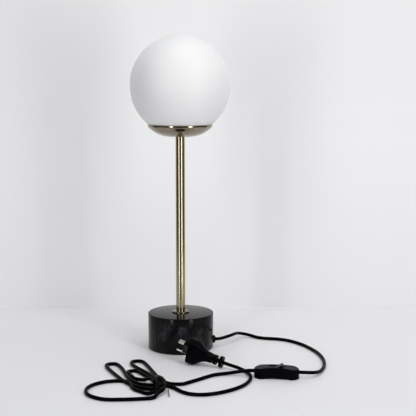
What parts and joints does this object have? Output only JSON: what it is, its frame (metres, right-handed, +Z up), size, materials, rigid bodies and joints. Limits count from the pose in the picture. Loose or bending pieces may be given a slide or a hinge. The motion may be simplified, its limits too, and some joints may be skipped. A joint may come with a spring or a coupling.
{
  "type": "table lamp",
  "caption": "Table lamp with an opal glass globe on a shallow dish, slim brass stem and round black marble base, with an inline rocker switch, tied spare cord and flat-pin plug.",
  "frame": {"origin": "centre of the underside of the base, on the table", "axes": "+Z up along the stem, +X towards the side where the cord leaves the base, +Y away from the viewer of the picture"},
  "size_m": [0.3441, 0.3409, 0.4756],
  "materials": {
    "marble": "polished black marble with faint pale veins",
    "steel": "zinc-plated steel",
    "spring_steel": "stainless spring steel",
    "eva_pad": "closed-cell foam pad",
    "black_rubber": "satin black rubber",
    "black_nylon": "black nylon",
    "cord_sheath": "satin black round cord sheath",
    "core_sheath": "insulated cores",
    "antique_brass": "brushed dark antique brass",
    "plain_brass": "plain turned brass",
    "silicone": "translucent white silicone",
    "ceramic": "glazed ceramic",
    "black_plastic": "satin black moulded plastic",
    "nickel": "nickel-plated brass",
    "opal_glass": "satin opal white glass",
    "bulb_glass": "clear and frosted capsule"
  },
  "bodies": {
    "lamp": {"marble_base": "marble", "base_cover_plate": "steel", "base_pad": "eva_pad", "cord_grommet": "black_rubber", "cord_anchor_upper": "black_nylon", "cord_anchor_lower": "black_nylon", "cord_anchor_screws": "steel", "inner_flex": "cord_sheath", "lower_nipple": "steel", "steel_washer": "steel", "lock_washer": "steel", "lower_nut": "steel", "stem_flange": "antique_brass", "stem_tube": "antique_brass", "stem_insert_lower": "plain_brass", "stem_insert_upper": "plain_brass", "upper_nipple": "steel", "globe_dish": "antique_brass", "globe_clip_spring": "spring_steel", "lampholder_bracket": "steel", "upper_nut": "steel", "globe_seat_ring": "silicone", "lampholder_body": "ceramic", "lampholder_contacts": "spring_steel", "lampholder_leads": "core_sheath", "lampholder_screw": "steel", "switch_upper_housing": "black_plastic", "switch_lower_housing": "black_plastic", "rocker_pin": "steel", "switch_terminal_left": "plain_brass", "switch_terminal_right": "plain_brass", "switch_terminal_screws": "steel", "switch_leads": "cord_sheath", "switch_housing_screws": "steel", "plug_body": "black_plastic", "plug_pins": "nickel", "plug_pin_sleeves": "black_plastic", "cord_base_to_switch": "cord_sheath", "cord_switch_to_hank": "cord_sheath", "cord_hank": "cord_sheath", "cord_hank_to_plug": "cord_sheath", "hank_tie": "black_nylon"},
    "globe": {"globe": "opal_glass"},
    "bulb": {"bulb_capsule": "bulb_glass", "bulb_base": "ceramic", "bulb_pins": "nickel"},
    "rocker": {"switch_rocker": "black_plastic", "switch_contact_blade": "plain_brass"}
  },
  "joints": [
    {"name": "globe_lift", "type": "slide", "parent": "lamp", "child": "globe", "axis": [0, 0, 1], "range_m": [0, 0.08]},
    {"name": "bulb_pull", "type": "slide", "parent": "lamp", "child": "bulb", "axis": [0, 0, 1], "range_m": [0, 0.025]},
    {"name": "rocker_press", "type": "hinge", "parent": "lamp", "child": "rocker", "pos_m": [0.1324, -0.1637, 0.0115], "axis": [0.1564, 0.9877, 0], "range_deg": [0, 28]}
  ]
}
